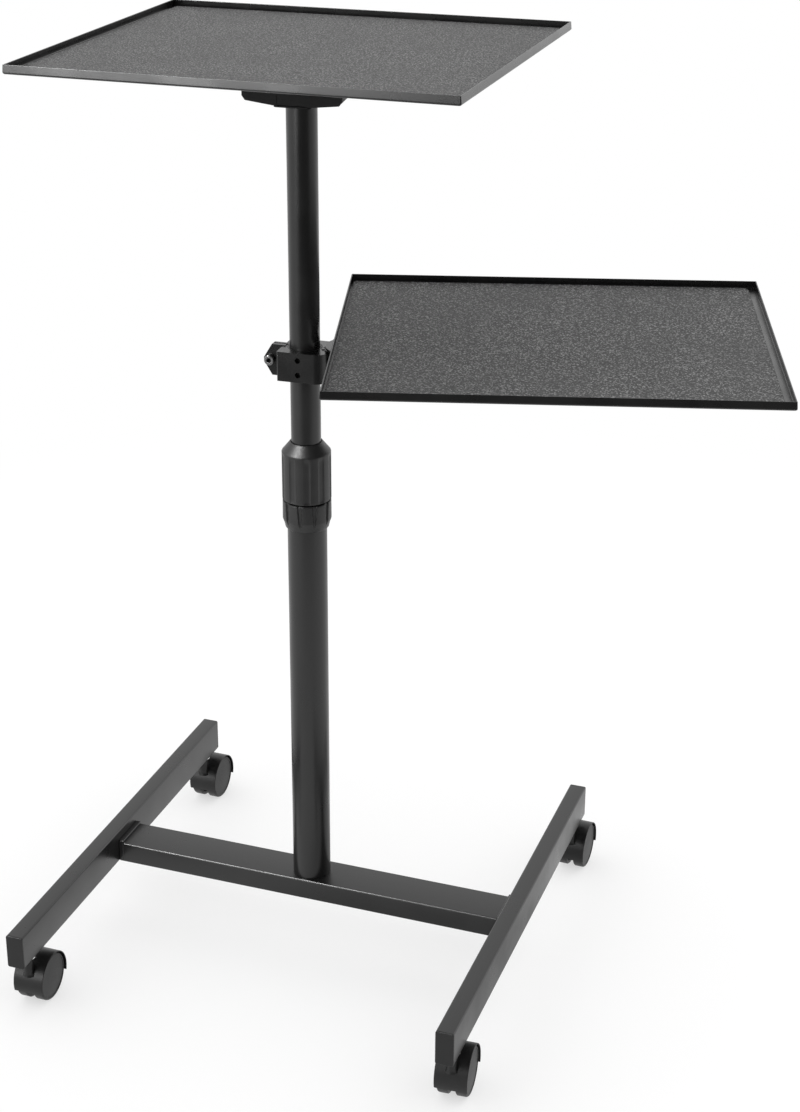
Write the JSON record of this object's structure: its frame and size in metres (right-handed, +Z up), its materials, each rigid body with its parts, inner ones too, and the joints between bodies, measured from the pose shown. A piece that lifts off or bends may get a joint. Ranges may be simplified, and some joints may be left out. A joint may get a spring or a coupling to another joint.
{
  "type": "mobile projector cart",
  "caption": "Mobile projector cart: H-shaped base on castors, telescoping column with twist collar, rimmed tray on top and a second rimmed tray on a swinging side clamp.",
  "frame": {"origin": "centre of the whole cart's plan box, on the floor", "axes": "+Z up along the column, +X to the right along the crossbar, +Y to the back along the rails"},
  "size_m": [0.7881, 0.5754, 1.048],
  "materials": {
    "frame_paint": "satin black powder coat",
    "tray_paint": "semi-gloss black powder coat",
    "grip_mat": "matt, gritty non-slip sheet",
    "black_plastic": "moulded, satin",
    "wheel_plastic": "moulded nylon, satin",
    "zinc_steel": "bright zinc plate"
  },
  "bodies": {
    "base": {"left_rail": "frame_paint", "right_rail": "frame_paint", "left_rail_caps": "black_plastic", "right_rail_caps": "black_plastic", "crossbar": "frame_paint", "crossbar_end_plates": "frame_paint", "lower_tube": "frame_paint", "fixed_collar": "black_plastic", "front_left_stem": "zinc_steel", "back_left_stem": "zinc_steel", "front_right_stem": "zinc_steel", "back_right_stem": "zinc_steel"},
    "collar": {"twist_collar": "black_plastic"},
    "guide": {"guide_bush": "black_plastic"},
    "column": {"upper_tube": "frame_paint", "head_block": "black_plastic", "head_spider": "frame_paint", "head_screws": "zinc_steel", "upper_tray": "tray_paint", "upper_mat": "grip_mat"},
    "liner": {"clamp_liner": "black_plastic"},
    "clamp": {"clamp_front": "frame_paint", "clamp_rear": "frame_paint", "clamp_bolts": "zinc_steel", "shelf_arm": "frame_paint"},
    "shelf": {"shelf_rail": "frame_paint", "swivel_bolt": "zinc_steel", "shelf_tray": "tray_paint", "shelf_mat": "grip_mat"},
    "front_left_castor": {"front_left_castor": "black_plastic"},
    "front_left_outer_wheel": {"front_left_outer_wheel": "wheel_plastic"},
    "front_left_inner_wheel": {"front_left_inner_wheel": "wheel_plastic"},
    "back_left_castor": {"back_left_castor": "black_plastic"},
    "back_left_outer_wheel": {"back_left_outer_wheel": "wheel_plastic"},
    "back_left_inner_wheel": {"back_left_inner_wheel": "wheel_plastic"},
    "front_right_castor": {"front_right_castor": "black_plastic"},
    "front_right_outer_wheel": {"front_right_outer_wheel": "wheel_plastic"},
    "front_right_inner_wheel": {"front_right_inner_wheel": "wheel_plastic"},
    "back_right_castor": {"back_right_castor": "black_plastic"},
    "back_right_outer_wheel": {"back_right_outer_wheel": "wheel_plastic"},
    "back_right_inner_wheel": {"back_right_inner_wheel": "wheel_plastic"}
  },
  "joints": [
    {"name": "collar_twist", "type": "hinge", "parent": "base", "child": "collar", "pos_m": [-0.12826, -0.02574, 0.562], "axis": [0, 0, 1], "range_deg": [0, 180]},
    {"name": "column_turn", "type": "hinge", "parent": "base", "child": "guide", "pos_m": [-0.12826, -0.02574, 0.562], "axis": [0, 0, 1], "continuous": true},
    {"name": "column_slide", "type": "slide", "parent": "guide", "child": "column", "axis": [0, 0, 1], "range_m": [-0.065, 0.12]},
    {"name": "clamp_slide", "type": "slide", "parent": "column", "child": "liner", "axis": [0, 0, -1], "range_m": [-0.2, 0.065]},
    {"name": "clamp_swing", "type": "hinge", "parent": "liner", "child": "clamp", "pos_m": [-0.12826, -0.02574, 0.717], "axis": [0, 0, 1], "continuous": true},
    {"name": "shelf_swivel", "type": "hinge", "parent": "clamp", "child": "shelf", "pos_m": [-0.0774, -0.02152, 0.736], "axis": [0, 0, 1], "range_deg": [-40, 20]},
    {"name": "front_left_swivel", "type": "hinge", "parent": "base", "child": "front_left_castor", "pos_m": [-0.37626, -0.26074, 0.068], "axis": [0, 0, 1], "continuous": true},
    {"name": "front_left_outer_wheel_roll", "type": "hinge", "parent": "front_left_castor", "child": "front_left_outer_wheel", "pos_m": [-0.37626, -0.23674, 0.0275], "axis": [1, 0, 0], "continuous": true},
    {"name": "front_left_inner_wheel_roll", "type": "hinge", "parent": "front_left_castor", "child": "front_left_inner_wheel", "pos_m": [-0.37626, -0.23674, 0.0275], "axis": [1, 0, 0], "continuous": true},
    {"name": "back_left_swivel", "type": "hinge", "parent": "base", "child": "back_left_castor", "pos_m": [-0.37626, 0.21526, 0.068], "axis": [0, 0, 1], "continuous": true},
    {"name": "back_left_outer_wheel_roll", "type": "hinge", "parent": "back_left_castor", "child": "back_left_outer_wheel", "pos_m": [-0.37584, 0.23926, 0.0275], "axis": [0.9998, -0.0175, 0], "continuous": true},
    {"name": "back_left_inner_wheel_roll", "type": "hinge", "parent": "back_left_castor", "child": "back_left_inner_wheel", "pos_m": [-0.37584, 0.23926, 0.0275], "axis": [0.9998, -0.0175, 0], "continuous": true},
    {"name": "front_right_swivel", "type": "hinge", "parent": "base", "child": "front_right_castor", "pos_m": [0.11974, -0.26074, 0.068], "axis": [0, 0, 1], "continuous": true},
    {"name": "front_right_outer_wheel_roll", "type": "hinge", "parent": "front_right_castor", "child": "front_right_outer_wheel", "pos_m": [0.11848, -0.23677, 0.0275], "axis": [0.9986, 0.0523, 0], "continuous": true},
    {"name": "front_right_inner_wheel_roll", "type": "hinge", "parent": "front_right_castor", "child": "front_right_inner_wheel", "pos_m": [0.11848, -0.23677, 0.0275], "axis": [0.9986, 0.0523, 0], "continuous": true},
    {"name": "back_right_swivel", "type": "hinge", "parent": "base", "child": "back_right_castor", "pos_m": [0.11974, 0.21526, 0.068], "axis": [0, 0, 1], "continuous": true},
    {"name": "back_right_outer_wheel_roll", "type": "hinge", "parent": "back_right_castor", "child": "back_right_outer_wheel", "pos_m": [0.12058, 0.23925, 0.0275], "axis": [0.9994, -0.0349, 0], "continuous": true},
    {"name": "back_right_inner_wheel_roll", "type": "hinge", "parent": "back_right_castor", "child": "back_right_inner_wheel", "pos_m": [0.12058, 0.23925, 0.0275], "axis": [0.9994, -0.0349, 0], "continuous": true}
  ]
}
